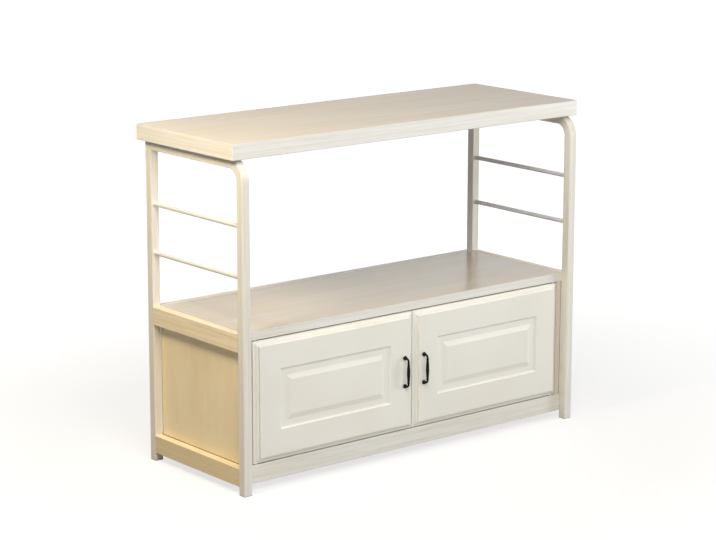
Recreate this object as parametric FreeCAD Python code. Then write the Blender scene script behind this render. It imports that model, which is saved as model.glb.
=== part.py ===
"""Microwave stand with an open bay over a cupboard with two hinged doors.

A steel frame at each end carries a thick top board, and the cupboard stands between the frames.
Lengths are in millimetres. +X is to the right, +Y is towards the back and +Z is up.
The origin is on the floor, under the centre of the bounding box.
"""
import FreeCAD
import Part

import os

Vector = FreeCAD.Vector
Rotation = FreeCAD.Rotation

# End frames: square tube posts, joined by taller rails and round rods.
FRAME_WIDTH = 950.0
FRAME_DEPTH = 350.0
HEIGHT = 750.0
TUBE = 20.0
TUBE_WALL = 1.2
TUBE_CORNER = 1.5
BEND_RADIUS = 25.0
RAIL_HEIGHT = 40.0
LOWER_RAIL_Z = 18.0
ROD_RADIUS = 5.0
ROD_HEIGHTS = {"lower": 468.0, "upper": 576.0}

# Feet pushed into the open ends of the posts.
FOOT_THICKNESS = 2.0
FOOT_STEM = 16.0

# Boards.
TOP_THICKNESS = 35.0
TOP_OVERHANG = 13.0
TOP_SETBACK = 14.0
TOP_DEPTH = 350.0
SHELF_TOP_Z = 349.0
SHELF_THICKNESS = 20.0
PANEL_THICKNESS = 16.0
BACK_THICKNESS = 5.0
BOARD_ROUNDING = 1.5

# Lugs under the bottom board.
LUG_LENGTH = 40.0
LUG_REACH = 20.0
LUG_THICKNESS = 2.0

# Doors: a flat edge, an ogee rising to a shoulder, a step up to the face, and a raised panel.
DOOR_THICKNESS = 18.0
DOOR_RAISE = 9.0
DOOR_SIDE_GAP = 2.0
DOOR_MIDDLE_GAP = 2.0
DOOR_TOP_GAP = 2.0
DOOR_BOTTOM_GAP = 3.0
EDGE_FLAT = 1.5
OGEE_WIDTH = 8.0
SHOULDER_WIDTH = 2.5
STEP_WIDTH = 0.5
STEP_HEIGHT = 4.5
STILE = 66.5
COVE_WIDTH = 5.0
GROOVE_DEPTH = 3.5
GROOVE_FLOOR = 12.2
FIELD_SLOPE = 11.5
FIELD_SINK = 0.3

# Bow handles: a spindle that swells to the middle, between two flared feet. The places are
# shares of half the spindle or of a foot, and the swells are shares of a radius.
HANDLE_CENTRES = 64.0
HANDLE_X = 27.5
BOW_REACH = 13.0
BOW_THIN = 2.3
BOW_THICK = 3.75
BOW_ELBOW = 7.0
FOOT_BULGE = 5.0
SPINDLE_NECK_PLACE = 0.8
SPINDLE_NECK_SWELL = 1.04
SPINDLE_BODY_PLACE = 0.45
SPINDLE_BODY_SWELL = 0.9
FOOT_ROOT_SWELL = 0.86
FOOT_BULGE_PLACE = 0.22
FOOT_TAPER_PLACE = 0.55
FOOT_TAPER_SWELL = 0.82

# Door pivots.
PIVOT_INSET = 7.5
PIN_RADIUS = 2.0
PIN_CLEARANCE = 0.05
PIN_LENGTH = 10.0
SHANK_RADIUS = 2.5
SHANK_LENGTH = 12.0
COLLAR_RADIUS = 4.0
COLLAR_CLEARANCE = 0.5
BUSH_RADIUS = 3.0
BUSH_LENGTH = 12.0

# Magnet catches and their strike plates.
CATCH_X = 25.0
CATCH_WIDTH = 26.0
CATCH_DEPTH = 16.0
CATCH_HEIGHT = 15.0
MAGNET_WIDTH = 16.0
MAGNET_DEPTH = 8.0
MAGNET_HEIGHT = 9.0
MAGNET_PROUD = 1.5
STRIKE_WIDTH = 22.0
STRIKE_HEIGHT = 13.0
STRIKE_THICKNESS = 1.0
STRIKE_DROP = 1.0
CATCH_ROUNDING = 1.5
PARTITION_CLEARANCE = 2.5

# Screws and dowels.
SCREW_RADIUS = 2.0
SCREW_HOLE_RADIUS = 2.25
SCREW_HEAD_RADIUS = 4.0
SCREW_HEAD_HEIGHT = 2.2
SCREW_SLOT_WIDTH = 1.0
SCREW_SLOT_DEPTH = 1.1
SCREW_SLOT_REACH = 2.2
TOP_SCREW_BITE = 14.0
PANEL_SCREW_BITE = 4.0
HANDLE_SCREW_BITE = 4.5
PANEL_SCREW_DROP = 10.0
DOWEL_RADIUS = 4.0
DOWEL_IN_BOARD = 12.0
DOWEL_IN_PANEL = 16.0
DOWEL_INSET = 60.0
PANEL_SCREW_INSET = 30.0
TOP_SCREW_INSET = 20.0

# How near an edge's middle must be to a plane to count as lying on it.
ON_PLANE = 0.01

# Heights and widths that follow from the sizes above.
HALF_OUTER = FRAME_WIDTH / 2
HALF_INNER = HALF_OUTER - TUBE
TOP_BOTTOM_Z = HEIGHT - TOP_THICKNESS
TOP_RAIL_Z = TOP_BOTTOM_Z - TUBE
LOWER_RAIL_TOP_Z = LOWER_RAIL_Z + RAIL_HEIGHT
UPPER_RAIL_Z = SHELF_TOP_Z - RAIL_HEIGHT
SHELF_Z = SHELF_TOP_Z - SHELF_THICKNESS
HALF_OPENING = HALF_INNER - PANEL_THICKNESS
DOOR_WIDTH = HALF_OPENING - DOOR_SIDE_GAP - DOOR_MIDDLE_GAP / 2
DOOR_Z = LOWER_RAIL_TOP_Z + DOOR_BOTTOM_GAP
DOOR_HEIGHT = SHELF_Z - DOOR_TOP_GAP - DOOR_Z
HANDLE_Z = DOOR_Z + DOOR_HEIGHT / 2

# Depths, from the front face of the posts back. The origin is midway between the foremost
# point, which is the bow of a handle, and the back edge of the top board.
HANDLE_PROUD = max(0.0, DOOR_RAISE + BOW_REACH + BOW_THICK - TUBE)
FRONT_Y = -(TOP_SETBACK + TOP_DEPTH - HANDLE_PROUD) / 2
CUPBOARD_Y = FRONT_Y + TUBE
REAR_FRAME_Y = FRONT_Y + FRAME_DEPTH - TUBE
BACK_PANEL_Y = REAR_FRAME_Y - BACK_THICKNESS
DOOR_FACE_Y = CUPBOARD_Y - DOOR_RAISE
DOOR_BACK_Y = DOOR_FACE_Y + DOOR_THICKNESS
BOW_Y = DOOR_FACE_Y - BOW_REACH
PIVOT_X = HALF_OPENING - DOOR_SIDE_GAP - PIVOT_INSET
PIVOT_Y = (CUPBOARD_Y + DOOR_BACK_Y) / 2
STRIKE_BACK_Y = DOOR_BACK_Y + STRIKE_THICKNESS
DOWEL_YS = (CUPBOARD_Y + DOWEL_INSET, REAR_FRAME_Y - DOWEL_INSET)

SIDES = {"left": -1, "right": 1}


def box(x_range, y_range, z_range):
    """A block between two values on each axis, given in either order."""
    low = Vector(min(x_range), min(y_range), min(z_range))
    high = Vector(max(x_range), max(y_range), max(z_range))
    size = high - low
    return Part.makeBox(size.x, size.y, size.z, low)


def cylinder(radius, length, base, direction):
    return Part.makeCylinder(radius, length, base, direction)


def union(shapes):
    return shapes[0].multiFuse(shapes[1:]).removeSplitter()


def rounded_rectangle(width, depth, radius):
    """A closed wire with rounded corners, centred on the origin in the XY plane."""
    x = width / 2
    y = depth / 2
    diagonal = radius * (1 - 0.5 ** 0.5)
    edges = []
    corners = ((1, 1), (-1, 1), (-1, -1), (1, -1))
    for index, (sx, sy) in enumerate(corners):
        along_x = Vector(sx * (x - radius), sy * y, 0)
        along_y = Vector(sx * x, sy * (y - radius), 0)
        middle = Vector(sx * (x - diagonal), sy * (y - diagonal), 0)
        start, end = (along_y, along_x) if index % 2 == 0 else (along_x, along_y)
        edges.append(Part.Arc(start, middle, end).toShape())
    for index in range(4):
        start = edges[index].Vertexes[-1].Point
        end = edges[(index + 1) % 4].Vertexes[0].Point
        edges.append(Part.makeLine(start, end))
    return Part.Wire(Part.__sortEdges__(edges))


def tube_section(width, depth):
    """The cut face of a hollow tube, centred on the origin in the XY plane."""
    outer = Part.Face(rounded_rectangle(width, depth, TUBE_CORNER))
    inner_corner = TUBE_CORNER - TUBE_WALL
    inner_size = (width - 2 * TUBE_WALL, depth - 2 * TUBE_WALL)
    inner = Part.Face(rounded_rectangle(*inner_size, inner_corner))
    return outer.cut(inner)


def tube(centre, axis, length, across=TUBE, height=TUBE):
    """A straight tube from the centre of one end, along the named axis."""
    if axis == "z":
        section = tube_section(across, height)
        turn = Rotation()
    elif axis == "y":
        section = tube_section(across, height)
        turn = Rotation(Vector(1, 0, 0), -90)
    else:
        section = tube_section(height, across)
        turn = Rotation(Vector(0, 1, 0), 90)
    solid = section.extrude(Vector(0, 0, length))
    solid.Placement = FreeCAD.Placement(centre, turn)
    return solid


def screw(length, point, direction):
    """A cross-recess pan screw: the head's seat is at the point, and the shank runs on."""
    head = cylinder(SCREW_HEAD_RADIUS, SCREW_HEAD_HEIGHT, Vector(0, 0, -SCREW_HEAD_HEIGHT), Vector(0, 0, 1))
    head = head.makeFillet(SCREW_HEAD_HEIGHT / 2, [head.Edges[2]])
    shank = cylinder(SCREW_RADIUS, length, Vector(0, 0, 0), Vector(0, 0, 1))
    half_slot = SCREW_SLOT_REACH
    half_width = SCREW_SLOT_WIDTH / 2
    depth = (-SCREW_HEAD_HEIGHT, SCREW_SLOT_DEPTH - SCREW_HEAD_HEIGHT)
    slots = [box((-half_slot, half_slot), (-half_width, half_width), depth),
             box((-half_width, half_width), (-half_slot, half_slot), depth)]
    solid = union([head, shank]).cut(slots)
    solid.Placement = FreeCAD.Placement(point, Rotation(Vector(0, 0, 1), direction))
    return solid


# ---------------------------------------------------------------------------------------
# End frames
# ---------------------------------------------------------------------------------------
def front_tube(x):
    """Front post, bend and top rail in one tube, with holes for the top board's screws."""
    post_y = FRONT_Y + TUBE / 2
    bend_z = TOP_BOTTOM_Z - TUBE - BEND_RADIUS
    bend_y = FRONT_Y + TUBE + BEND_RADIUS
    section = tube_section(TUBE, TUBE)
    section.Placement.Base = Vector(x, post_y, bend_z)
    bend = section.revolve(Vector(x, bend_y, bend_z), Vector(-1, 0, 0), 90)
    post = tube(Vector(x, post_y, FOOT_THICKNESS), "z", bend_z - FOOT_THICKNESS)
    rail = tube(Vector(x, bend_y, TOP_RAIL_Z + TUBE / 2), "y", REAR_FRAME_Y - bend_y)
    solid = union([post, bend, rail])
    holes = [cylinder(SCREW_HOLE_RADIUS, TUBE, Vector(x, y, TOP_RAIL_Z), Vector(0, 0, 1))
             for y in top_screw_ys()]
    return solid.cut(holes)


def top_screw_ys():
    first = FRONT_Y + TUBE + BEND_RADIUS + TOP_SCREW_INSET
    last = REAR_FRAME_Y - TOP_SCREW_INSET
    return (first, (first + last) / 2, last)


def rear_post(x):
    base = Vector(x, REAR_FRAME_Y + TUBE / 2, FOOT_THICKNESS)
    return tube(base, "z", TOP_BOTTOM_Z - FOOT_THICKNESS)


def side_rail(x, z):
    centre = Vector(x, CUPBOARD_Y, z + RAIL_HEIGHT / 2)
    return tube(centre, "y", REAR_FRAME_Y - CUPBOARD_Y, TUBE, RAIL_HEIGHT)


def cross_rail(y, z):
    """A rail from one end frame to the other."""
    centre = Vector(-HALF_INNER, y + TUBE / 2, z + RAIL_HEIGHT / 2)
    return tube(centre, "x", 2 * HALF_INNER, TUBE, RAIL_HEIGHT)


def rod(x, z):
    return cylinder(ROD_RADIUS, REAR_FRAME_Y - CUPBOARD_Y, Vector(x, CUPBOARD_Y, z), Vector(0, 1, 0))


def foot(x, y):
    """A plastic foot with a ribbed stem that fills the end of a post."""
    sole = Part.Face(rounded_rectangle(TUBE, TUBE, TUBE_CORNER)).extrude(Vector(0, 0, FOOT_THICKNESS))
    stem_size = TUBE - 2 * TUBE_WALL
    stem_face = Part.Face(rounded_rectangle(stem_size, stem_size, TUBE_CORNER - TUBE_WALL))
    stem = stem_face.extrude(Vector(0, 0, FOOT_STEM))
    stem.translate(Vector(0, 0, FOOT_THICKNESS))
    pocket_half = stem_size / 2 - 2 * TUBE_WALL
    pocket = box((-pocket_half, pocket_half), (-pocket_half, pocket_half),
                 (FOOT_THICKNESS, FOOT_THICKNESS + FOOT_STEM))
    solid = union([sole, stem]).cut(pocket)
    solid.translate(Vector(x, y, 0))
    return solid


# ---------------------------------------------------------------------------------------
# Boards
# ---------------------------------------------------------------------------------------
def top_board():
    half = HALF_OUTER + TOP_OVERHANG
    front = FRONT_Y + TOP_SETBACK
    solid = box((-half, half), (front, front + TOP_DEPTH), (TOP_BOTTOM_Z, HEIGHT))
    solid = solid.makeFillet(BOARD_ROUNDING, solid.Edges)
    post_x = HALF_OUTER - TUBE / 2
    holes = [cylinder(SCREW_RADIUS, TOP_SCREW_BITE, Vector(side * post_x, y, TOP_BOTTOM_Z), Vector(0, 0, 1))
             for side in SIDES.values() for y in top_screw_ys()]
    return solid.cut(holes)


def shelf_board():
    """The board over the cupboard, drilled below for the dowels and the upper door pivots."""
    solid = box((-HALF_INNER, HALF_INNER), (CUPBOARD_Y, REAR_FRAME_Y), (SHELF_Z, SHELF_TOP_Z))
    front_edges = [edge for edge in solid.Edges
                   if abs(edge.CenterOfMass.y - CUPBOARD_Y) < ON_PLANE
                   and abs(edge.CenterOfMass.x) < ON_PLANE]
    solid = solid.makeFillet(BOARD_ROUNDING, front_edges)
    holes = dowel_cylinders(SHELF_Z)
    for side in SIDES.values():
        base = Vector(side * PIVOT_X, PIVOT_Y, SHELF_Z)
        holes.append(cylinder(SHANK_RADIUS, SHANK_LENGTH, base, Vector(0, 0, 1)))
    return solid.cut(holes)


def bottom_board():
    solid = box((-HALF_INNER, HALF_INNER), (CUPBOARD_Y + TUBE, REAR_FRAME_Y),
                (LOWER_RAIL_TOP_Z - PANEL_THICKNESS, LOWER_RAIL_TOP_Z))
    return solid.cut(dowel_cylinders(LOWER_RAIL_TOP_Z))


def upright_xs():
    """The middle of each upright board, across the cupboard."""
    side_x = HALF_INNER - PANEL_THICKNESS / 2
    return (-side_x, 0.0, side_x)


def dowel_cylinders(joint_z, xs=None):
    """The dowels that cross the joint at one height, from the flat board into each upright."""
    upwards = -1 if joint_z > (LOWER_RAIL_TOP_Z + SHELF_Z) / 2 else 1
    bottom = joint_z - (DOWEL_IN_BOARD if upwards > 0 else DOWEL_IN_PANEL)
    return [cylinder(DOWEL_RADIUS, DOWEL_IN_BOARD + DOWEL_IN_PANEL, Vector(x, y, bottom), Vector(0, 0, 1))
            for x in (xs or upright_xs()) for y in DOWEL_YS]


def upright(x, front_y, back_y):
    half = PANEL_THICKNESS / 2
    solid = box((x - half, x + half), (front_y, back_y), (LOWER_RAIL_TOP_Z, SHELF_Z))
    return solid.cut(dowel_cylinders(LOWER_RAIL_TOP_Z, (x,)) + dowel_cylinders(SHELF_Z, (x,)))


def side_panel(side):
    solid = upright(side * (HALF_INNER - PANEL_THICKNESS / 2), CUPBOARD_Y, REAR_FRAME_Y)
    holes = [cylinder(SCREW_HOLE_RADIUS, PANEL_THICKNESS, point, Vector(side, 0, 0))
             for point in panel_screw_points(side)]
    return solid.cut(holes)


def panel_screw_points(side):
    """Where the heads of the screws into the upper side rail sit, inside the cupboard."""
    z = SHELF_Z - PANEL_SCREW_DROP
    inset = PANEL_SCREW_INSET
    return [Vector(side * HALF_OPENING, y, z)
            for y in (CUPBOARD_Y + inset, REAR_FRAME_Y - inset)]


def back_panel():
    return box((-HALF_OPENING, HALF_OPENING), (BACK_PANEL_Y, REAR_FRAME_Y), (LOWER_RAIL_TOP_Z, SHELF_Z))


def board_lugs():
    """Lugs on the inner faces of the lower cross rails, under the bottom board."""
    top = LOWER_RAIL_TOP_Z - PANEL_THICKNESS
    spread = HALF_INNER - LUG_LENGTH
    solids = []
    for x in (-spread, 0.0, spread):
        for wall, reach in ((CUPBOARD_Y + TUBE, LUG_REACH), (REAR_FRAME_Y, -LUG_REACH)):
            solids.append(box((x - LUG_LENGTH / 2, x + LUG_LENGTH / 2), (wall, wall + reach),
                              (top - LUG_THICKNESS, top)))
    return Part.makeCompound(solids)


# ---------------------------------------------------------------------------------------
# Doors
# ---------------------------------------------------------------------------------------
def two_arcs(start, end):
    """An S curve from start to end that leaves and arrives parallel to the door's face."""
    middle = (start + end) * 0.5
    edges = []
    for flat in (start, end):
        run = middle.x - flat.x
        rise = middle.y - flat.y
        radius = (run ** 2 + rise ** 2) / (2 * abs(rise))
        centre = Vector(flat.x, flat.y + (radius if rise > 0 else -radius), 0)
        outward = (flat + middle) * 0.5 - centre
        outward.normalize()
        bulge = centre + outward * radius
        ends = (flat, middle) if flat == start else (middle, flat)
        edges.append(Part.Arc(ends[0], bulge, ends[1]).toShape())
    return edges


def mirrored(edges, length):
    """The same profile at the far end of a section, in reverse order."""
    result = []
    for edge in reversed(edges):
        copy = edge.copy()
        result.append(copy.mirror(Vector(length / 2, 0, 0), Vector(1, 0, 0)))
    return result


def section_face(profile, length, floor):
    """A section with the profile at both ends and straight sides down to the floor.

    x runs across the door and y is depth, with the face at zero.
    """
    edges = profile + mirrored(profile, length)
    start = profile[0].Vertexes[0].Point
    shoulder = max(profile[-1].Vertexes, key=lambda vertex: vertex.X).Point
    opposite = Vector(length - shoulder.x, shoulder.y, 0)
    far = Vector(length - start.x, start.y, 0)
    edges.append(Part.makeLine(shoulder, opposite))
    edges.append(Part.makeLine(far, Vector(far.x, floor, 0)))
    edges.append(Part.makeLine(Vector(far.x, floor, 0), Vector(start.x, floor, 0)))
    edges.append(Part.makeLine(Vector(start.x, floor, 0), start))
    return Part.Face(Part.Wire(Part.__sortEdges__(edges)))


def mitred(profile, width, height, floor):
    """A rectangular block whose four sides all have the profile, mitred at the corners."""
    across = section_face(profile, width, floor).extrude(Vector(0, 0, height))
    upright_section = section_face(profile, height, floor)
    upright_section.rotate(Vector(0, 0, 0), Vector(0, 1, 0), -90)
    tall = upright_section.extrude(Vector(width, 0, 0))
    return across.common(tall)


def door_edge_profile():
    lip = Vector(0, DOOR_RAISE, 0)
    flat = Vector(EDGE_FLAT, DOOR_RAISE, 0)
    top = Vector(EDGE_FLAT + OGEE_WIDTH, STEP_HEIGHT, 0)
    shoulder = Vector(top.x + SHOULDER_WIDTH, STEP_HEIGHT, 0)
    face = Vector(shoulder.x + STEP_WIDTH, 0, 0)
    return ([Part.makeLine(lip, flat)] + two_arcs(flat, top)
            + [Part.makeLine(top, shoulder), Part.makeLine(shoulder, face)])


def groove_wall_profile():
    """From the face down a cove to the groove's floor."""
    rim = Vector(0, 0, 0)
    floor = Vector(COVE_WIDTH, GROOVE_DEPTH, 0)
    radius = (COVE_WIDTH ** 2 + GROOVE_DEPTH ** 2) / (2 * GROOVE_DEPTH)
    chord = (rim + floor) * 0.5
    centre = Vector(COVE_WIDTH, GROOVE_DEPTH - radius, 0)
    outward = chord - centre
    outward.normalize()
    return [Part.Arc(rim, centre + outward * radius, floor).toShape()]


def door_slab():
    """One door with its left edge at x = 0, its bottom at z = 0 and its face at y = 0."""
    slab = mitred(door_edge_profile(), DOOR_WIDTH, DOOR_HEIGHT, DOOR_THICKNESS)
    pocket_width = DOOR_WIDTH - 2 * STILE
    pocket_height = DOOR_HEIGHT - 2 * STILE
    pocket = mitred(groove_wall_profile(), pocket_width, pocket_height, -STEP_HEIGHT)
    inset = COVE_WIDTH + GROOVE_FLOOR
    foot_point = Vector(0, GROOVE_DEPTH, 0)
    crest = Vector(FIELD_SLOPE, FIELD_SINK, 0)
    field = mitred([Part.makeLine(foot_point, crest)], pocket_width - 2 * inset,
                   pocket_height - 2 * inset, GROOVE_DEPTH + STEP_HEIGHT)
    field.translate(Vector(inset, 0, inset))
    groove = pocket.cut(field)
    groove.translate(Vector(STILE, 0, STILE))
    return slab.cut(groove)


def door(side):
    solid = door_slab()
    left_x = DOOR_MIDDLE_GAP / 2 if side > 0 else -DOOR_MIDDLE_GAP / 2 - DOOR_WIDTH
    solid.translate(Vector(left_x, DOOR_FACE_Y, DOOR_Z))
    holes = [cylinder(SCREW_HOLE_RADIUS, DOOR_THICKNESS, point, Vector(0, 1, 0))
             for point in handle_points(side, DOOR_FACE_Y)]
    for base in bush_bases(side):
        holes.append(cylinder(BUSH_RADIUS, BUSH_LENGTH, base, Vector(0, 0, 1)))
    return solid.cut(holes)


def bush_bases(side):
    """The lower end of each pivot bush: the bottom one first."""
    top = DOOR_Z + DOOR_HEIGHT - BUSH_LENGTH
    return [Vector(side * PIVOT_X, PIVOT_Y, z) for z in (DOOR_Z, top)]


def bush(base):
    outer = cylinder(BUSH_RADIUS, BUSH_LENGTH, base, Vector(0, 0, 1))
    return outer.cut(cylinder(PIN_RADIUS + PIN_CLEARANCE, BUSH_LENGTH, base, Vector(0, 0, 1)))


def pivot_pin(side, seat_z, upwards, collar_height):
    """Shank in the carcass, collar in the gap, and the pin that the door turns on."""
    seat = Vector(side * PIVOT_X, PIVOT_Y, seat_z)
    direction = Vector(0, 0, upwards)
    shank = cylinder(SHANK_RADIUS, SHANK_LENGTH, seat, direction * -1)
    collar = cylinder(COLLAR_RADIUS, collar_height, seat, direction)
    pin = cylinder(PIN_RADIUS, PIN_LENGTH, seat + direction * collar_height, direction)
    return union([shank, collar, pin])


def handle_points(side, y):
    return [Vector(side * HANDLE_X, y, HANDLE_Z + offset)
            for offset in (-HANDLE_CENTRES / 2, HANDLE_CENTRES / 2)]


def revolved(points, origin, axis_x, axis_y):
    """Turn a spline through (distance along the axis, radius) points into a solid."""
    world = [origin + axis_x * along + axis_y * radius for along, radius in points]
    curve = Part.BSplineCurve()
    curve.interpolate(world)
    start = origin + axis_x * points[0][0]
    end = origin + axis_x * points[-1][0]
    edges = [Part.makeLine(start, world[0]), curve.toShape(), Part.makeLine(world[-1], end),
             Part.makeLine(end, start)]
    face = Part.Face(Part.Wire(edges))
    return face.revolve(origin, axis_x, 360)


def handle(side):
    """A spindle-shaped bow between two flared feet."""
    x = side * HANDLE_X
    half = HANDLE_CENTRES / 2
    straight = half - BOW_ELBOW
    neck = (straight * SPINDLE_NECK_PLACE, BOW_THIN * SPINDLE_NECK_SWELL)
    body = (straight * SPINDLE_BODY_PLACE, BOW_THICK * SPINDLE_BODY_SWELL)
    upper_half = [body, neck, (straight, BOW_THIN)]
    lower_half = [(-along, radius) for along, radius in reversed(upper_half)]
    spindle_points = lower_half + [(0, BOW_THICK)] + upper_half
    centre = Vector(x, BOW_Y, HANDLE_Z)
    shapes = [revolved(spindle_points, centre, Vector(0, 0, 1), Vector(1, 0, 0))]
    foot_length = BOW_REACH - BOW_ELBOW
    foot_points = [(0, FOOT_BULGE * FOOT_ROOT_SWELL), (foot_length * FOOT_BULGE_PLACE, FOOT_BULGE),
                   (foot_length * FOOT_TAPER_PLACE, FOOT_BULGE * FOOT_TAPER_SWELL),
                   (foot_length, BOW_THIN)]
    for sign, point in zip((-1, 1), handle_points(side, DOOR_FACE_Y)):
        shapes.append(revolved(foot_points, point, Vector(0, -1, 0), Vector(1, 0, 0)))
        ring_centre = Vector(x, BOW_Y + BOW_ELBOW, HANDLE_Z + sign * straight)
        circle = Part.makeCircle(BOW_THIN, Vector(x, BOW_Y, ring_centre.z), Vector(0, 0, 1))
        disc = Part.Face(Part.Wire(circle))
        shapes.append(disc.revolve(ring_centre, Vector(-sign, 0, 0), 90))
    solid = union(shapes)
    holes = [cylinder(SCREW_RADIUS, HANDLE_SCREW_BITE, point, Vector(0, -1, 0))
             for point in handle_points(side, DOOR_FACE_Y)]
    return solid.cut(holes)


def handle_screws(side):
    length = DOOR_THICKNESS + HANDLE_SCREW_BITE
    return Part.makeCompound([screw(length, point, Vector(0, -1, 0))
                              for point in handle_points(side, DOOR_BACK_Y)])


def strike_plate(side):
    x = side * CATCH_X
    top = DOOR_Z + DOOR_HEIGHT - STRIKE_DROP
    half = STRIKE_WIDTH / 2
    return box((x - half, x + half), (DOOR_BACK_Y, STRIKE_BACK_Y), (top - STRIKE_HEIGHT, top))


def magnet(side):
    x = side * CATCH_X
    half = MAGNET_WIDTH / 2
    middle_z = SHELF_Z - CATCH_HEIGHT / 2
    return box((x - half, x + half), (STRIKE_BACK_Y, STRIKE_BACK_Y + MAGNET_DEPTH),
               (middle_z - MAGNET_HEIGHT / 2, middle_z + MAGNET_HEIGHT / 2))


def catch(side):
    """The housing that holds the magnet under the shelf."""
    x = side * CATCH_X
    half = CATCH_WIDTH / 2
    front = STRIKE_BACK_Y + MAGNET_PROUD
    body = box((x - half, x + half), (front, front + CATCH_DEPTH), (SHELF_Z - CATCH_HEIGHT, SHELF_Z))
    lower = [edge for edge in body.Edges if abs(edge.CenterOfMass.z - (SHELF_Z - CATCH_HEIGHT)) < ON_PLANE]
    return body.makeFillet(CATCH_ROUNDING, lower).cut(magnet(side))


# ---------------------------------------------------------------------------------------
# Every node, by name
# ---------------------------------------------------------------------------------------
nodes = {}
post_centre = HALF_OUTER - TUBE / 2
for name, side in SIDES.items():
    x = side * post_centre
    nodes[f"{name}_front_tube"] = front_tube(x)
    nodes[f"{name}_rear_post"] = rear_post(x)
    rail_holes = [cylinder(SCREW_RADIUS, PANEL_THICKNESS + TUBE / 2, point, Vector(side, 0, 0))
                  for point in panel_screw_points(side)]
    nodes[f"{name}_upper_side_rail"] = side_rail(x, UPPER_RAIL_Z).cut(rail_holes)
    nodes[f"{name}_lower_side_rail"] = side_rail(x, LOWER_RAIL_Z)
    for level, z in ROD_HEIGHTS.items():
        nodes[f"{name}_{level}_rod"] = rod(x, z)
    nodes[f"{name}_front_foot"] = foot(x, FRONT_Y + TUBE / 2)
    nodes[f"{name}_rear_foot"] = foot(x, REAR_FRAME_Y + TUBE / 2)
    nodes[f"{name}_side_panel"] = side_panel(side)
    nodes[f"{name}_door"] = door(side)
    lower_base, upper_base = bush_bases(side)
    nodes[f"{name}_lower_bush"] = bush(lower_base)
    nodes[f"{name}_upper_bush"] = bush(upper_base)
    nodes[f"{name}_lower_pivot"] = pivot_pin(side, LOWER_RAIL_TOP_Z, 1, DOOR_BOTTOM_GAP)
    nodes[f"{name}_upper_pivot"] = pivot_pin(side, SHELF_Z, -1, DOOR_TOP_GAP - COLLAR_CLEARANCE)
    nodes[f"{name}_handle"] = handle(side)
    nodes[f"{name}_handle_screws"] = handle_screws(side)
    nodes[f"{name}_strike_plate"] = strike_plate(side)
    nodes[f"{name}_catch"] = catch(side)
    nodes[f"{name}_catch_magnet"] = magnet(side)

pivot_holes = [cylinder(SHANK_RADIUS, SHANK_LENGTH, Vector(side * PIVOT_X, PIVOT_Y, LOWER_RAIL_TOP_Z),
                        Vector(0, 0, -1)) for side in SIDES.values()]
nodes["front_lower_rail"] = cross_rail(CUPBOARD_Y, LOWER_RAIL_Z).cut(pivot_holes)
nodes["rear_lower_rail"] = cross_rail(REAR_FRAME_Y, LOWER_RAIL_Z)
nodes["rear_upper_rail"] = cross_rail(REAR_FRAME_Y, UPPER_RAIL_Z)
nodes["top_board"] = top_board()
nodes["shelf_board"] = shelf_board()
nodes["bottom_board"] = bottom_board()
nodes["centre_partition"] = upright(0.0, DOOR_BACK_Y + PARTITION_CLEARANCE, BACK_PANEL_Y)
nodes["back_panel"] = back_panel()
nodes["board_lugs"] = board_lugs()
nodes["dowels"] = Part.makeCompound(dowel_cylinders(LOWER_RAIL_TOP_Z) + dowel_cylinders(SHELF_Z))
nodes["top_board_screws"] = Part.makeCompound(
    [screw(TUBE + TOP_SCREW_BITE, Vector(side * post_centre, y, TOP_RAIL_Z), Vector(0, 0, 1))
     for side in SIDES.values() for y in top_screw_ys()])
nodes["side_panel_screws"] = Part.makeCompound(
    [screw(PANEL_THICKNESS + PANEL_SCREW_BITE, point, Vector(side, 0, 0))
     for side in SIDES.values() for point in panel_screw_points(side)])

os.makedirs("parts", exist_ok=True)
for name, shape in nodes.items():
    shape.exportStep(f"parts/{name}.step")
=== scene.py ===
import math

import bpy
import numpy as np
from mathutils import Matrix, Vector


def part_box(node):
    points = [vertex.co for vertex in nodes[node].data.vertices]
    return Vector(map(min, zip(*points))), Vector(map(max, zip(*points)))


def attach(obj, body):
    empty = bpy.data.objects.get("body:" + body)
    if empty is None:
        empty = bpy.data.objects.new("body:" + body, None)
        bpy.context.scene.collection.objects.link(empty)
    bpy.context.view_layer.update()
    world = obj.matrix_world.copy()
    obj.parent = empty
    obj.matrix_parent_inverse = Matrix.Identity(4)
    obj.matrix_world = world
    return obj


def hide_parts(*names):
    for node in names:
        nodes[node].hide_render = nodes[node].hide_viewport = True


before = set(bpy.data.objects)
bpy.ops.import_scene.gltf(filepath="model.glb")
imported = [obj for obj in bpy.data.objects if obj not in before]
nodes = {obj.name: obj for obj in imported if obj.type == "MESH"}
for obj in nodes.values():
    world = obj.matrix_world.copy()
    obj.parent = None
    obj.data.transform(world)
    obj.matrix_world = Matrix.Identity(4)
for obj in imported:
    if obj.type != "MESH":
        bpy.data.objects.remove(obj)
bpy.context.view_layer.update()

# The end frames: 20 mm square steel tube with flat rails, all in one satin coat that is printed
# like pale maple. The grain runs along each tube, and the side rails took a warmer print. The
# lower rails are painted darker: partly a darker print, partly painted shade.
# Patch sizes are in mm, here and below. A relief is a depth in mm and a strength.
FIBRE_WIDTH, FIBRE_LENGTH = 1.3, 45.0
STREAK_WIDTH, STREAK_LENGTH = 5.0, 260.0
CLOUD_WIDTH, CLOUD_LENGTH = 30.0, 420.0
FIBRE_SHARE = 0.35
FIGURE_RANGE = (0.42, 0.66)
CLOUD_RANGE = (0.38, 0.68)
WARM_SHARE = 0.4
LOW_SHADE_SHARE = 0.6
COAT_ROUGHNESS = (0.29, 0.42)
COAT_RELIEF = (0.05, 0.5)
NOISE_MIDDLE = (0.3, 0.7)
TUBE_LOW, TUBE_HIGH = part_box("left_front_tube")
BEND_SUM = TUBE_LOW.y + TUBE_HIGH.z
LOW_RAIL_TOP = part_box("left_lower_side_rail")[1].z - 0.0005


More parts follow.
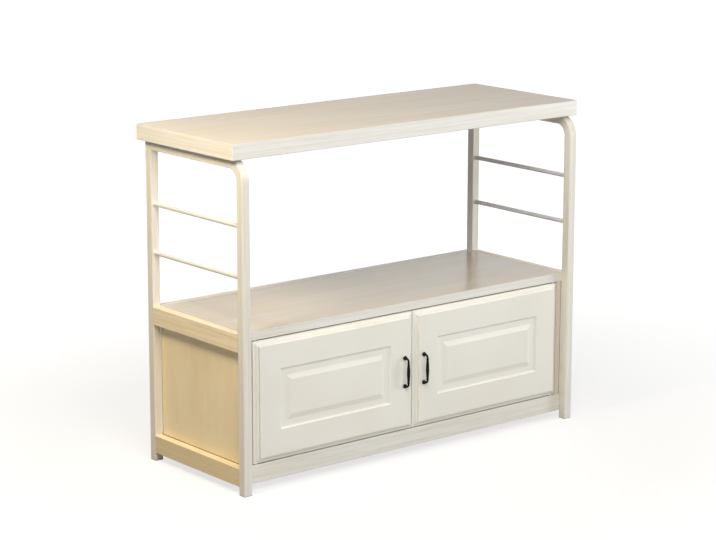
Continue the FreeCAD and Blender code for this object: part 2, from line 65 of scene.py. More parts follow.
def srgb(red, green, blue):
    """The linear colour of an sRGB one: c / 12.92, and ((c + 0.055) / 1.055) ** 2.4 above 0.04."""
    linear = [c / 12.92 if c <= 0.04045 else ((c + 0.055) / 1.055) ** 2.4
              for c in (red / 255, green / 255, blue / 255)]
    return (*linear, 1.0)


def new_finish(name):
    """An empty finish: its material, node tree, shader and Object coordinates."""
    material = bpy.data.materials.new(name)
    material.use_nodes = True
    tree = material.node_tree
    coordinates = tree.nodes.new("ShaderNodeTexCoord")
    return material, tree, tree.nodes["Principled BSDF"], coordinates.outputs["Object"]


def clouds(tree, place, size_mm, detail=3.0, roughness=0.5, distortion=0.0, start=(0.0, 0.0, 0.0)):
    """Soft noise from 0 to 1 whose patches measure size_mm along x, y and z."""
    mapping = tree.nodes.new("ShaderNodeMapping")
    mapping.inputs["Scale"].default_value = [1000.0 / size for size in size_mm]
    mapping.inputs["Location"].default_value = start
    noise = tree.nodes.new("ShaderNodeTexNoise")
    for socket, number in (("Scale", 1.0), ("Detail", detail), ("Roughness", roughness),
                           ("Distortion", distortion)):
        noise.inputs[socket].default_value = number
    tree.links.new(place, mapping.inputs["Vector"])
    tree.links.new(mapping.outputs["Vector"], noise.inputs["Vector"])
    return noise.outputs["Fac"]


def graded(tree, value, low, high, to_low=0.0, to_high=1.0):
    """The value, carried from low..high to to_low..to_high and held at both ends."""
    node = tree.nodes.new("ShaderNodeMapRange")
    for socket, number in (("From Min", low), ("From Max", high),
                           ("To Min", to_low), ("To Max", to_high)):
        node.inputs[socket].default_value = number
    tree.links.new(value, node.inputs["Value"])
    return node.outputs["Result"]


def joined(tree, operation, first, second):
    """Two values joined by one operation; either may be a plain number."""
    node = tree.nodes.new("ShaderNodeMath")
    node.operation = operation
    for socket, value in zip(node.inputs, (first, second)):
        if isinstance(value, (int, float)):
            socket.default_value = value
        else:
            tree.links.new(value, socket)
    return node.outputs["Value"]


def weighed(tree, first, share, second):
    """The share of the first value, and the rest of the second."""
    return joined(tree, "ADD", joined(tree, "MULTIPLY", first, share),
                  joined(tree, "MULTIPLY", second, 1.0 - share))


def mixed(tree, amount, first, second, kind="RGBA"):
    """The first colour or place going over to the second by amount."""
    node = tree.nodes.new("ShaderNodeMix")
    node.data_type = kind
    inputs = [s for s in node.inputs if s.enabled and s.name in ("A", "B")]
    for socket, value in ((node.inputs["Factor"], amount), (inputs[0], first), (inputs[1], second)):
        if isinstance(value, bpy.types.NodeSocket):
            tree.links.new(value, socket)
        else:
            socket.default_value = value
    return next(s for s in node.outputs if s.enabled)


def finished(tree, shader, colour, polish, roughness, pattern, relief, spread=NOISE_MIDDLE):
    """Gives a finish its colour, its roughness and its relief.

    The roughness goes through its range while the polish goes through its spread. The relief
    follows the pattern."""
    tree.links.new(colour, shader.inputs["Base Color"])
    tree.links.new(graded(tree, polish, *spread, *roughness), shader.inputs["Roughness"])
    depth_mm, strength = relief
    bump = tree.nodes.new("ShaderNodeBump")
    bump.inputs["Distance"].default_value = depth_mm / 1000.0
    bump.inputs["Strength"].default_value = strength
    tree.links.new(pattern, bump.inputs["Height"])
    tree.links.new(bump.outputs["Normal"], shader.inputs["Normal"])


def along(axis, width, length):
    """The patch size of a grain that runs along x, y or z: long that way and narrow the others."""
    return [length if name == axis else width for name in "xyz"]


def split(tree, place):
    """The x, y and z of a place."""
    parts = tree.nodes.new("ShaderNodeSeparateXYZ")
    tree.links.new(place, parts.inputs["Vector"])
    return parts.outputs[0], parts.outputs[1], parts.outputs[2]


def swapped(tree, place, first, second):
    """The same place with two of x, y and z exchanged, so that a grain turns."""
    values = list(split(tree, place))
    values[first], values[second] = values[second], values[first]
    turn = tree.nodes.new("ShaderNodeCombineXYZ")
    for value, socket in zip(values, turn.inputs):
        tree.links.new(value, socket)
    return turn.outputs["Vector"]


def maple_coat(name, axis, light, dark, warm, bend_sum=None, low_print_and_shade=None):
    """The printed coat: fibres and streaks along one axis, over slow changes towards warm.

    Past the bend, where y + z is over bend_sum, the grain turns from z to y. Under LOW_RAIL_TOP the
    colour goes partly over to low_print_and_shade: a darker print, with painted shade on top."""
    material, tree, shader, place = new_finish(name)
    _, depth, height = split(tree, place)
    if bend_sum is not None:
        past = joined(tree, "GREATER_THAN", joined(tree, "ADD", depth, height), bend_sum)
        place = mixed(tree, past, place, swapped(tree, place, 1, 2), "VECTOR")
    fibre = clouds(tree, place, along(axis, FIBRE_WIDTH, FIBRE_LENGTH), roughness=0.6)
    streak = clouds(tree, place, along(axis, STREAK_WIDTH, STREAK_LENGTH), distortion=0.4)
    cloud = clouds(tree, place, along(axis, CLOUD_WIDTH, CLOUD_LENGTH), detail=2.0)
    figure = weighed(tree, fibre, FIBRE_SHARE, streak)
    colour = mixed(tree, graded(tree, figure, *FIGURE_RANGE), light, dark)
    colour = mixed(tree, graded(tree, cloud, *CLOUD_RANGE, 0.0, WARM_SHARE), colour, warm)
    # Painted shade: under LOW_RAIL_TOP the coat goes partly over to a darker, tanner colour, partly
    # a darker print and partly shade painted in for the dimmer light low down.
    if low_print_and_shade is not None:
        low = joined(tree, "LESS_THAN", height, LOW_RAIL_TOP)
        colour = mixed(tree, joined(tree, "MULTIPLY", low, LOW_SHADE_SHARE), colour, low_print_and_shade)
    finished(tree, shader, colour, fibre, COAT_ROUGHNESS, figure, COAT_RELIEF)
    return material


COAT_COLOURS = (srgb(241, 240, 233), srgb(227, 220, 207), srgb(236, 228, 212))
coat = {axis: maple_coat("maple_coat_along_" + axis, axis, *COAT_COLOURS) for axis in "xz"}
bent_coat = maple_coat("maple_coat_round_bend", "z", *COAT_COLOURS, bend_sum=BEND_SUM)
rod_coat = maple_coat("plain_rod_coat", "y", srgb(240, 241, 239), srgb(229, 229, 225),
                      srgb(236, 235, 231))
# The lower rails' darker colour is a darker print and painted shade together.
warm_coat = maple_coat("warm_maple_coat", "y", srgb(252, 240, 208), srgb(230, 208, 167),
                       srgb(248, 228, 187), low_print_and_shade=srgb(224, 201, 150))


def dress(material, *names):
    """Gives CAD pieces one finish in each of their slots."""
    for name in names:
        for slot in nodes[name].material_slots:
            slot.material = material


SIDES = {"left": -1, "right": 1}
for side in SIDES:
    dress(bent_coat, side + "_front_tube")
    dress(coat["z"], side + "_rear_post")
    dress(rod_coat, side + "_lower_rod", side + "_upper_rod")
    dress(warm_coat, side + "_upper_side_rail", side + "_lower_side_rail")
dress(coat["x"], "front_lower_rail", "rear_lower_rail", "rear_upper_rail", "board_lugs")

# The welds: small concave beads round the ends of the guard rods, and along the top and bottom
# of each side rail where it meets the posts. They went under the coat.
WELD_LEG = 0.0016
WELD_RIPPLE = 0.00012
WELD_STEPS = 8
RING_POINTS, RING_RIPPLES = 40, 14
BEAD_POINTS, BEAD_RIPPLES = 25, 40
BEAD_TAPER = 8
BEAD_INSET = 0.001


def surface(name, points, body, material, turned=False, wraps=False):
    """A smooth mesh from grids of points, one grid per shell: each four neighbours make a face.

    The second direction closes on itself where it wraps."""
    corners, faces, start = [], [], 0
    for grid in points:
        rows, columns = grid.shape[:2]
        row, column = np.meshgrid(np.arange(rows - 1), np.arange(columns if wraps else columns - 1),
                                  indexing="ij")
        after = (column + 1) % columns
        quads = np.stack([row * columns + column, row * columns + after,
                          (row + 1) * columns + after, (row + 1) * columns + column], -1)
        quads = quads.reshape(-1, 4)
        faces.append((quads[:, ::-1] if turned else quads) + start)
        corners.append(grid.reshape(-1, 3))
        start += rows * columns
    mesh = bpy.data.meshes.new(name)
    mesh.from_pydata(np.concatenate(corners).tolist(), [], np.concatenate(faces).tolist())
    mesh.polygons.foreach_set("use_smooth", np.ones(len(mesh.polygons), bool))
    mesh.materials.append(material)
    piece = bpy.data.objects.new(name, mesh)
    bpy.context.scene.collection.objects.link(piece)
    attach(piece, body)
    return piece


def ring_weld(centre_x, seat_y, centre_z, radius, outward):
    """A bead round a rod that runs along y: at angle a and step s of a quarter turn, it stands
    radius + leg * (1 - sin s) from the rod's axis and leg * (1 - cos s) out from the post. Both
    carry a ripple of sin(ripples * a) * sin(2 * s)."""
    angle = np.linspace(0, 2 * np.pi, RING_POINTS, endpoint=False)[None, :]
    step = np.linspace(0, np.pi / 2, WELD_STEPS)[:, None]
    ripple = WELD_RIPPLE * np.sin(RING_RIPPLES * angle) * np.sin(2 * step)
    reach = radius + WELD_LEG * (1 - np.sin(step)) + ripple
    out = WELD_LEG * (1 - np.cos(step)) + ripple
    return np.stack([centre_x + reach * np.cos(angle), seat_y + outward * out + 0 * angle,
                     centre_z + reach * np.sin(angle)], -1)


def straight_weld(centre_x, half_length, seat_y, outward, seat_z, upward):
    """A bead along x in the corner of a post and a rail: leg * (1 - sin s) up the post and
    leg * (1 - cos s) out along the rail. At u, from -1 to 1 along the bead, the leg is
    sqrt(1 - u ** taper), which falls to nothing at both ends, and a ripple of sin(ripples * u)
    * (1 - u ** 2)."""
    run = np.linspace(-1, 1, BEAD_POINTS)[None, :]
    step = np.linspace(0, np.pi / 2, WELD_STEPS)[:, None]
    ripple = WELD_RIPPLE * np.sin(BEAD_RIPPLES * run) * (1 - run ** 2)
    leg = WELD_LEG * np.sqrt(np.clip(1 - run ** BEAD_TAPER, 0, 1)) + ripple
    return np.stack([centre_x + half_length * run + 0 * step,
                     seat_y + outward * leg * (1 - np.cos(step)),
                     seat_z + upward * leg * (1 - np.sin(step))], -1)


for side in SIDES:
    rod_welds, rail_welds, turned_welds = [], [], []
    for rod in ("_lower_rod", "_upper_rod"):
        low, high = (np.array(corner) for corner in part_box(side + rod))
        middle = (low + high) / 2
        radius = (high[0] - low[0]) / 2
        rod_welds.append(ring_weld(middle[0], low[1], middle[2], radius, 1))
        rod_welds.append(ring_weld(middle[0], high[1], middle[2], radius, -1)[:, ::-1])
    for rail in ("_lower_side_rail", "_upper_side_rail"):
        low, high = (np.array(corner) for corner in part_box(side + rail))
        middle, half = (low[0] + high[0]) / 2, (high[0] - low[0]) / 2 - BEAD_INSET
        for seat_y, outward in ((low[1], 1), (high[1], -1)):
            for seat_z, upward in ((low[2], -1), (high[2], 1)):
                bead = straight_weld(middle, half, seat_y, outward, seat_z, upward)
                (rail_welds if outward * upward > 0 else turned_welds).append(bead)
    surface(side + "_rod_welds", rod_welds, "stand", rod_coat, wraps=True)
    surface(side + "_rail_welds_a", rail_welds, "stand", warm_coat)
    surface(side + "_rail_welds_b", turned_welds, "stand", warm_coat, turned=True)

# The feet: moulded beige plastic plugs, pressed into the open ends of the posts. Their skin is
# fine and spark-eroded, and scuffed darker in places.
SKIN_SIZE, SCUFF_SIZE = (0.5, 0.5, 0.5), (9.0, 9.0, 9.0)
SCUFF_RANGE = (0.35, 0.7)
SCUFF_DARKNESS = 0.86
SKIN_RELIEF = (0.03, 0.4)


def moulded(name, colour, roughness):
    """A moulded plastic: one colour under the skin, going over to the scuffs."""
    material, tree, shader, place = new_finish(name)
    skin = clouds(tree, place, SKIN_SIZE, detail=2.0)
    scuff = graded(tree, clouds(tree, place, SCUFF_SIZE), *SCUFF_RANGE)
    darker = tuple(c * SCUFF_DARKNESS for c in colour[:3]) + (1,)
    finished(tree, shader, mixed(tree, scuff, colour, darker), skin, roughness, skin, SKIN_RELIEF)
    return material


foot_plastic = moulded("foot_plastic", srgb(205, 199, 186), (0.44, 0.56))
for side in SIDES:
    dress(foot_plastic, side + "_front_foot", side + "_rear_foot")

# The cupboard: 16 mm laminated particle board for the sides, floor and centre partition, held
# by beech dowels, with a thin hardboard back let in behind. The side panels have banded front
# edges, and a line of painted shade where each meets its posts and its lower rail.
PANEL_LOW, PANEL_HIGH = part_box("right_side_panel")
BANDING_END_Y = PANEL_LOW.y + 0.001
POST_JOINT_X = PANEL_HIGH.x - 0.0018
OUTER_FACE_X = PANEL_HIGH.x - 0.0002
REAR_JOINT_Y = PANEL_HIGH.y - 0.002
LOW_JOINT_Z = PANEL_LOW.z + 0.0012
LAMINATE_FIBRE, LAMINATE_CLOUD = (1.6, 1.6, 38.0), (60.0, 60.0, 260.0)
LAMINATE_FIBRE_SHARE = 0.4
LAMINATE_RANGE = (0.4, 0.64)
LAMINATE_RELIEF = (0.04, 0.35)


def laminate(name, colour, dark, roughness, banding=None, joint=None):
    """A plain decor laminate with a faint upright grain, and banding and lines of painted shade at
    the joints if given.
    """
    material, tree, shader, place = new_finish(name)
    fibre = clouds(tree, place, LAMINATE_FIBRE)
    figure = weighed(tree, fibre, LAMINATE_FIBRE_SHARE,
                     clouds(tree, place, LAMINATE_CLOUD, detail=2.0))
    shade = mixed(tree, graded(tree, figure, *LAMINATE_RANGE), colour, dark)
    if banding is not None:
        across, depth, height = split(tree, place)
        aside = joined(tree, "ABSOLUTE", across, 0)
        front = joined(tree, "LESS_THAN", depth, BANDING_END_Y)
        beside_post = joined(tree, "GREATER_THAN", aside, POST_JOINT_X)
        outside = joined(tree, "GREATER_THAN", aside, OUTER_FACE_X)
        # Painted shade: a dark line on the panel where it meets the rear post and the lower rail,
        # and at its front edge beside the front post.
        shaded_joints = joined(tree, "MAXIMUM", joined(tree, "GREATER_THAN", depth, REAR_JOINT_Y),
                          joined(tree, "LESS_THAN", height, LOW_JOINT_Z))
        shade = mixed(tree, front, shade, banding)
        shade = mixed(tree, joined(tree, "MULTIPLY", front, beside_post), shade, joint)
        shade = mixed(tree, joined(tree, "MULTIPLY", outside, shaded_joints), shade, joint)
    finished(tree, shader, shade, fibre, roughness, fibre, LAMINATE_RELIEF)
    return material


# The joint colour is painted shade: a dark line where the panel meets the posts and the lower rail.
dress(laminate("panel_board", srgb(254, 238, 201), srgb(247, 227, 187), (0.37, 0.49),
               banding=srgb(222, 211, 193), joint=srgb(128, 112, 90)),
      "left_side_panel", "right_side_panel", "bottom_board", "centre_partition")
dress(laminate("hardboard_back", srgb(228, 216, 190), srgb(220, 206, 177), (0.55, 0.67)),
      "back_panel")
dress(laminate("dowel_beech", srgb(214, 178, 132), srgb(196, 158, 112), (0.5, 0.62)), "dowels")

# The shelf and the top board: maple laminate with paler banding on the edges, and a shinier
# face on the shelf. The grain runs along the boards, and across them on the two ends.
BANDING = 0.0012
HAIRLINE_WIDTH = 0.0003
HAIRLINE_SHARE = 0.35
BOARD_FIBRE, BOARD_STREAK = (55.0, 1.4, 1.4), (330.0, 9.0, 6.0)
TONE_SIZE, TONE_START = (560.0, 60.0, 60.0), (3.0, 1.0, 2.0)
BLUSH_SIZE, BLUSH_START = (420.0, 45.0, 45.0), (7.0, 5.0, 1.0)
BOARD_FIBRE_SHARE = 0.3
BOARD_RANGE = (0.40, 0.66)
TONE_RANGE, TONE_SHARE = (0.40, 0.64), 0.5
BLUSH_RANGE, BLUSH_SHARE = (0.42, 0.66), 0.5
BOARD_RELIEF = (0.04, 0.35)


def maple_board(name, node, roughness):
    """Growth-ring streaks, fine fibres and slow changes of tone, and on each edge the banding
    with its hairline joint just in from the face."""
    material, tree, shader, place = new_finish(name)
    low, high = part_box(node)
    centre = (np.array(low) + np.array(high)) / 2
    half = (np.array(high) - np.array(low)) / 2
    inset = [joined(tree, "SUBTRACT", float(half[i]),
                    joined(tree, "ABSOLUTE", joined(tree, "SUBTRACT", value, float(centre[i])), 0))
             for i, value in enumerate(split(tree, place))]
    end = joined(tree, "LESS_THAN", inset[0], BANDING)
    edge = joined(tree, "MAXIMUM", end, joined(tree, "LESS_THAN", inset[1], BANDING))
    banded = joined(tree, "MULTIPLY", edge, joined(tree, "GREATER_THAN", inset[2], BANDING / 2))
    place = mixed(tree, end, place, swapped(tree, place, 0, 1), "VECTOR")
    fibre = clouds(tree, place, BOARD_FIBRE, roughness=0.6)
    streak = clouds(tree, place, BOARD_STREAK, distortion=0.5)
    tone = clouds(tree, place, TONE_SIZE, detail=2.0, start=TONE_START)
    blush = clouds(tree, place, BLUSH_SIZE, detail=2.0, start=BLUSH_START)
    figure = weighed(tree, fibre, BOARD_FIBRE_SHARE, streak)
    grain = graded(tree, figure, *BOARD_RANGE)
    tone = graded(tree, tone, *TONE_RANGE, 0.0, TONE_SHARE)
    blush = graded(tree, blush, *BLUSH_RANGE, 0.0, BLUSH_SHARE)
    face = mixed(tree, grain, srgb(213, 205, 188), srgb(202, 191, 170))
    face = mixed(tree, tone, face, srgb(208, 192, 161))
    face = mixed(tree, blush, face, srgb(204, 191, 177))
    band = mixed(tree, grain, srgb(244, 243, 239), srgb(231, 226, 214))
    hairline = joined(tree, "COMPARE", inset[2], BANDING)
    hairline.node.inputs[2].default_value = HAIRLINE_WIDTH
    line = joined(tree, "MULTIPLY", joined(tree, "MULTIPLY", hairline, edge), HAIRLINE_SHARE)
    colour = mixed(tree, line, mixed(tree, banded, face, band), srgb(206, 190, 160))
    finished(tree, shader, colour, streak, roughness, figure, BOARD_RELIEF)
    return material


dress(maple_board("shelf_laminate", "shelf_board", (0.17, 0.26)), "shelf_board")
dress(maple_board("top_laminate", "top_board", (0.29, 0.38)), "top_board")

# The doors: 18 mm fibreboard, milled with a raised panel and moulded edges, and wrapped in a
# satin cream foil.
FOIL_SKIN_SIZE, FOIL_TONE_SIZE = (1.2, 1.2, 1.2), (180.0, 180.0, 180.0)
FOIL_TONE_RANGE = (0.35, 0.68)
FOIL_ROUGHNESS = (0.33, 0.42)
FOIL_RELIEF = (0.02, 0.3)


def door_foil():
    """Cream foil with a fine leather-like skin and slow changes of tone."""
    material, tree, shader, place = new_finish("door_satin")
    skin = clouds(tree, place, FOIL_SKIN_SIZE)
    tone = graded(tree, clouds(tree, place, FOIL_TONE_SIZE, detail=1.0), *FOIL_TONE_RANGE)
    colour = mixed(tree, tone, srgb(247, 245, 236), srgb(244, 241, 230))
    finished(tree, shader, colour, skin, FOIL_ROUGHNESS, skin, FOIL_RELIEF)
    return material


dress(door_foil(), "left_door", "right_door")

# The door buffers: clear silicone domes, 5.6 mm across, stuck to the back of each door near its
# free edge. They meet the front edge of the partition when the door is shut.
BUFFER_RADIUS = 0.0028
BUFFER_RISE = 0.0021
BUFFER_X = 0.0052
BUFFER_UP, BUFFER_DOWN = 0.013, 0.031  # from the door's lower edge, and from its upper edge
DOME_POINTS, DOME_STEPS = 28, 9
SILICONE_RIPPLE_SIZE = (1.5, 1.5, 1.5)
SILICONE_CLEARNESS = 0.6
SILICONE_IOR = 1.41
SILICONE_ROUGHNESS = (0.2, 0.34)
SILICONE_RELIEF = (0.03, 0.3)


def clear_silicone():
    """Milky clear silicone with faint ripples."""
    material, tree, shader, place = new_finish("clear_silicone")
    ripple = clouds(tree, place, SILICONE_RIPPLE_SIZE, detail=2.0)
    shader.inputs["Transmission Weight"].default_value = SILICONE_CLEARNESS
    shader.inputs["IOR"].default_value = SILICONE_IOR
    colour = mixed(tree, ripple, srgb(236, 238, 236), srgb(218, 222, 220))
    finished(tree, shader, colour, ripple, SILICONE_ROUGHNESS, ripple, SILICONE_RELIEF)
    return material


def dome(centre_x, seat_y, centre_z):
    """A low dome on a face that looks along +y: at angle a and step s it stands radius * sin s
    from its middle and rise * cos s off the face."""
    angle = np.linspace(0, 2 * np.pi, DOME_POINTS, endpoint=False)[None, :]
    step = np.linspace(0, np.pi / 2, DOME_STEPS)[:, None]
    shell = np.stack([centre_x + BUFFER_RADIUS * np.sin(step) * np.cos(angle),
                      seat_y + BUFFER_RISE * np.cos(step) + 0 * angle,
                      centre_z + BUFFER_RADIUS * np.sin(step) * np.sin(angle)], -1)
    middle = np.broadcast_to(np.array([centre_x, seat_y, centre_z]), (1, DOME_POINTS, 3))
    return np.concatenate([shell, middle])


silicone = clear_silicone()
for side, sign in SIDES.items():
    low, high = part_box(side + "_door")
    domes = [dome(sign * BUFFER_X, high.y, height)
             for height in (low.z + BUFFER_UP, high.z - BUFFER_DOWN)]
    surface(side + "_door_buffers", domes, side + "_door_leaf", silicone,
            turned=True, wraps=True)

# The pulls: one cast bow on each door, screwed on from behind. It swells to a spindle between
# two flared feet, and its antique black is rubbed a little brighter in patches.
GRIP_THIN, GRIP_THICK = 0.0023, 0.00375
FOOT_RADIUS = 0.005
ELBOW_RADIUS = 0.007
FOOT_PLACES = (0, 0.06, 0.22, 0.55, 1.0)
FOOT_SWELLS = (0.86, 0.94, 1.0, 0.80, 0.0)
SPINDLE_POWER = 1.3
COLLAR_PLACE = 0.93
COLLAR_RISE = 0.00055
COLLAR_WIDTH = 0.0011
STEM_POINTS, ELBOW_POINTS, GRIP_POINTS, ROUND_POINTS = 26, 18, 70, 40
RUB_SIZE, PIT_SIZE = (4.0, 4.0, 7.0), (0.6, 0.6, 0.6)
RUB_RANGE, POLISH_RANGE = (0.5, 0.78), (0.35, 0.7)
BLACK_METALLIC = 0.5
BLACK_SPECULAR = 0.15
BLACK_ROUGHNESS = (0.48, 0.36)
PIT_RELIEF = (0.04, 0.4)


def antique_black():
    """Near-black bronze over a cast skin, a little brighter where it is rubbed."""
    material, tree, shader, place = new_finish("antique_black")
    rub = clouds(tree, place, RUB_SIZE, detail=4.0)
    pits = clouds(tree, place, PIT_SIZE, detail=2.0)
    shader.inputs["Metallic"].default_value = BLACK_METALLIC
    shader.inputs["Specular IOR Level"].default_value = BLACK_SPECULAR
    colour = mixed(tree, graded(tree, rub, *RUB_RANGE), srgb(14, 12, 10), srgb(38, 32, 26))
    finished(tree, shader, colour, rub, BLACK_ROUGHNESS, pits, PIT_RELIEF, POLISH_RANGE)
    return material


def pull_line(low, high):
    """The bow's line in the upright plane through its feet, as places, directions and distances:
    straight out of the door, a quarter turn, straight along z, a quarter turn, and back."""
    face_y, front_y = high[1], low[1] + GRIP_THICK
    foot_z = np.array([low[2], high[2]]) + np.array([FOOT_RADIUS, -FOOT_RADIUS])
    stem = face_y - front_y - ELBOW_RADIUS
    grip = foot_z[1] - foot_z[0] - 2 * ELBOW_RADIUS
    elbow = ELBOW_RADIUS * np.pi / 2
    lengths = np.cumsum([0, stem, elbow, grip, elbow, stem])
    counts = (STEM_POINTS, ELBOW_POINTS, GRIP_POINTS, ELBOW_POINTS, STEM_POINTS)
    run = np.unique(np.concatenate([np.linspace(*span) for span in
                                    zip(lengths[:-1], lengths[1:], counts)]))
    turn = np.interp(run, lengths, [0, 0, 1, 1, 2, 2]) * np.pi / 2
    half = (foot_z[1] - foot_z[0]) / 2
    middle = lengths[-1] / 2
    sweep = np.minimum(turn, np.pi - turn)
    out = np.where((run <= lengths[1]) | (run >= lengths[4]), np.minimum(run, lengths[-1] - run),
                   stem + ELBOW_RADIUS * np.sin(sweep))
    bow_z = np.clip(run - middle, -grip / 2, grip / 2)
    swing = half - ELBOW_RADIUS + ELBOW_RADIUS * np.cos(sweep)
    z = np.where(np.abs(run - middle) <= grip / 2, bow_z, np.sign(run - middle) * swing)
    places = np.stack([np.full_like(run, (low[0] + high[0]) / 2), face_y - out,
                       foot_z.mean() + z], -1)
    directions = np.stack([0 * run, -np.cos(turn), np.sin(turn)], -1)
    return places, directions, run, lengths


def pull_radius(run, lengths):
    """Flared foot, thin neck, spindle and collars, as radii along the line.

    The foot goes through its swells at its places in straight steps, down to the neck. The
    spindle swells by cos(a) ** power, where a grows to a quarter turn from the middle to the end
    of the grip. Each collar is the bell curve rise * exp(-(distance / width) ** 2)."""
    edge = np.minimum(run, lengths[-1] - run)
    foot = np.interp(edge / lengths[1], FOOT_PLACES, FOOT_SWELLS)
    flare = GRIP_THIN + (FOOT_RADIUS - GRIP_THIN) * foot
    grip = (lengths[3] - lengths[2]) / 2
    off_middle = np.abs(run - lengths[-1] / 2)
    swell = np.cos(np.clip(off_middle / grip, 0, 1) * np.pi / 2) ** SPINDLE_POWER
    spindle = GRIP_THIN + (GRIP_THICK - GRIP_THIN) * swell
    collar = COLLAR_RISE * np.exp(-((off_middle - COLLAR_PLACE * grip) / COLLAR_WIDTH) ** 2)
    return np.where(edge < lengths[1], flare, spindle) + collar


black_metal = antique_black()
for side in SIDES:
    low, high = (np.array(corner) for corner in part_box(side + "_handle"))
    places, directions, run, lengths = pull_line(low, high)
    radius = pull_radius(run, lengths)
    angle = np.linspace(0, 2 * np.pi, ROUND_POINTS, endpoint=False)[None, :, None]
    sideways = np.array([1.0, 0.0, 0.0])
    upright = np.cross(directions, sideways)
    ring = np.cos(angle) * sideways + np.sin(angle) * upright[:, None, :]
    tube = places[:, None, :] + radius[:, None, None] * ring
    closed = np.concatenate([np.repeat(places[:1, None], ROUND_POINTS, 1), tube,
                             np.repeat(places[-1:, None], ROUND_POINTS, 1)])
    pull = surface(side + "_pull", [closed], side + "_door_leaf", black_metal,
                   wraps=True)
    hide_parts(side + "_handle")

# The hardware: zinc-plated pivots, strikes and screws, white plastic bushes and catches, and
# the black ferrite magnets.
SPANGLE_SIZE = (2.5, 2.5, 2.5)
ZINC_ROUGHNESS = (0.28, 0.42)
ZINC_RELIEF = (0.02, 0.3)


def zinc_plate():
    """Bright zinc with faint spangle and dull patches."""
    material, tree, shader, place = new_finish("zinc_plate")
    spangle = clouds(tree, place, SPANGLE_SIZE)
    shader.inputs["Metallic"].default_value = 1.0
    colour = mixed(tree, graded(tree, spangle, *NOISE_MIDDLE),
                   srgb(196, 198, 200), srgb(172, 174, 178))
    finished(tree, shader, colour, spangle, ZINC_ROUGHNESS, spangle, ZINC_RELIEF)
    return material


zinc = zinc_plate()
white_plastic = moulded("white_plastic", srgb(226, 224, 216), (0.39, 0.51))
ferrite = moulded("ferrite", srgb(58, 57, 56), (0.54, 0.66))
for side in SIDES:
    dress(zinc, side + "_lower_pivot", side + "_upper_pivot", side + "_handle_screws",
          side + "_strike_plate")
    dress(white_plastic, side + "_lower_bush", side + "_upper_bush", side + "_catch")
    dress(ferrite, side + "_catch_magnet")
dress(zinc, "top_board_screws", "side_panel_screws")

# The floor: a plain pale sheet that runs out of sight. It goes over to white away from the
# stand, and keeps the stand's soft shadow.
FLOOR_REACH = 40.0
MOTTLE_SIZE = (400.0, 400.0, 400.0)
FLOOR_LIGHT, FLOOR_DARK = (0.31, 0.307, 0.3, 1), (0.295, 0.292, 0.285, 1)
FLOOR_ROUGHNESS = 0.9
FLOOR_GLOW = 0.7
GLOW_NEAR, GLOW_FAR = 0.7, 2.4


def pale_floor():
    """A matt pale sheet with a faint mottle, and a glow that only the view and gloss see, which
    rises to white away from the stand."""
    material, tree, shader, place = new_finish("pale_floor")
    mottle = clouds(tree, place, MOTTLE_SIZE, detail=2.0)
    tree.links.new(mixed(tree, mottle, FLOOR_LIGHT, FLOOR_DARK), shader.inputs["Base Color"])
    shader.inputs["Roughness"].default_value = FLOOR_ROUGHNESS
    glow = tree.nodes.new("ShaderNodeEmission")
    far = tree.nodes.new("ShaderNodeVectorMath")
    far.operation = "LENGTH"
    tree.links.new(place, far.inputs[0])
    tree.links.new(graded(tree, far.outputs["Value"], GLOW_NEAR, GLOW_FAR, FLOOR_GLOW, 1.0),
                   glow.inputs["Strength"])
    lit = tree.nodes.new("ShaderNodeAddShader")
    tree.links.new(shader.outputs["BSDF"], lit.inputs[0])
    tree.links.new(glow.outputs["Emission"], lit.inputs[1])
    path = tree.nodes.new("ShaderNodeLightPath")
    choice = tree.nodes.new("ShaderNodeMixShader")
    seen = joined(tree, "MAXIMUM", path.outputs["Is Camera Ray"], path.outputs["Is Glossy Ray"])
    tree.links.new(seen, choice.inputs["Fac"])
    tree.links.new(shader.outputs["BSDF"], choice.inputs[1])
    tree.links.new(lit.outputs["Shader"], choice.inputs[2])
    tree.links.new(choice.outputs["Shader"], tree.nodes["Material Output"].inputs["Surface"])
    return material


sheet = bpy.data.meshes.new("floor")
corners = [(FLOOR_REACH * x, FLOOR_REACH * y, 0) for x, y in ((-1, -1), (1, -1), (1, 1), (-1, 1))]
sheet.from_pydata(corners, [], [(0, 1, 2, 3)])
sheet.materials.append(pale_floor())
floor = bpy.data.objects.new("floor", sheet)
bpy.context.scene.collection.objects.link(floor)

# The air round the stand: plain white where it is seen, mirrored or looked at through the clear
# buffers, and only a faint light itself.
AIR_LIGHT = 0.05
world = bpy.data.worlds.new("studio")
bpy.context.scene.world = world
world.use_nodes = True
air = world.node_tree
background = air.nodes["Background"]
background.inputs["Color"].default_value = (1, 1, 1, 1)
path = air.nodes.new("ShaderNodeLightPath")
seen = joined(air, "MAXIMUM", path.outputs["Is Camera Ray"], path.outputs["Is Glossy Ray"])
seen = joined(air, "MAXIMUM", seen, path.outputs["Is Transmission Ray"])
air.links.new(graded(air, seen, 0.0, 1.0, AIR_LIGHT, 1.0), background.inputs["Strength"])

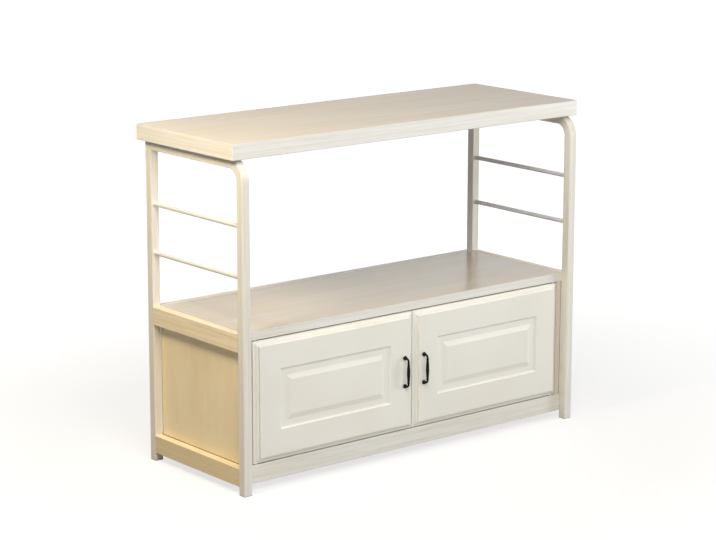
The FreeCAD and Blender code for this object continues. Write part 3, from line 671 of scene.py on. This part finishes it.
# The lamps: a key high at the front left, a low one at the right that models the doors, a weak
# one straight in front, a small warm one above the left end, and a broad one behind.
LAMP_AIM = (0.0, 0.0, 0.38)


def lamp(name, place, width, power, colour):
    """A square area lamp, width metres across, that faces LAMP_AIM."""
    light = bpy.data.lights.new(name, "AREA")
    light.shape = "SQUARE"
    light.size = width
    light.energy = power
    light.color = colour
    holder = bpy.data.objects.new(name, light)
    holder.location = place
    away = np.array(place) - np.array(LAMP_AIM)
    tilt = math.acos(away[2] / np.linalg.norm(away))
    holder.rotation_euler = (tilt, 0.0, math.atan2(away[0], -away[1]))
    bpy.context.scene.collection.objects.link(holder)


lamp("key_lamp", (-1.06, -1.84, 2.5), 1.5, 48.0, (1.0, 1.0, 1.0))
lamp("side_lamp", (3.02, -1.74, 0.69), 1.2, 40.0, (1.0, 1.0, 0.99))
lamp("front_lamp", (0.35, -3.41, 0.97), 1.5, 20.0, (1.0, 1.0, 1.0))
lamp("end_lamp", (-1.3, -0.2, 1.5), 0.4, 15.0, (1.0, 0.835, 0.565))
lamp("back_lamp", (0.4, 3.2, 0.8), 1.8, 32.0, (1.0, 0.99, 0.97))

# The camera: a long lens from the front left, held above the top board and tilted down a
# little, so that the stand fills the picture.
CAMERA_PLACE = (-3.21085, -3.91247, 1.52835)
CAMERA_YAW = 0.67816
CAMERA_PITCH = 0.21483
CAMERA_SHIFT = (0.01705, -0.02)
LENS_PIXELS = 2309.7
PICTURE_WIDTH = 716
SENSOR = 36.0
FARTHEST_SEEN = 100.0
eye = bpy.data.cameras.new("camera")
eye.sensor_width = SENSOR
eye.lens = LENS_PIXELS * SENSOR / PICTURE_WIDTH
eye.shift_x, eye.shift_y = CAMERA_SHIFT
eye.clip_end = FARTHEST_SEEN
camera = bpy.data.objects.new("camera", eye)
camera.location = CAMERA_PLACE
camera.rotation_euler = (math.pi / 2 - CAMERA_PITCH, 0.0, -CAMERA_YAW)
bpy.context.scene.collection.objects.link(camera)
bpy.context.scene.camera = camera

bpy.context.scene.view_settings.view_transform = "Standard"
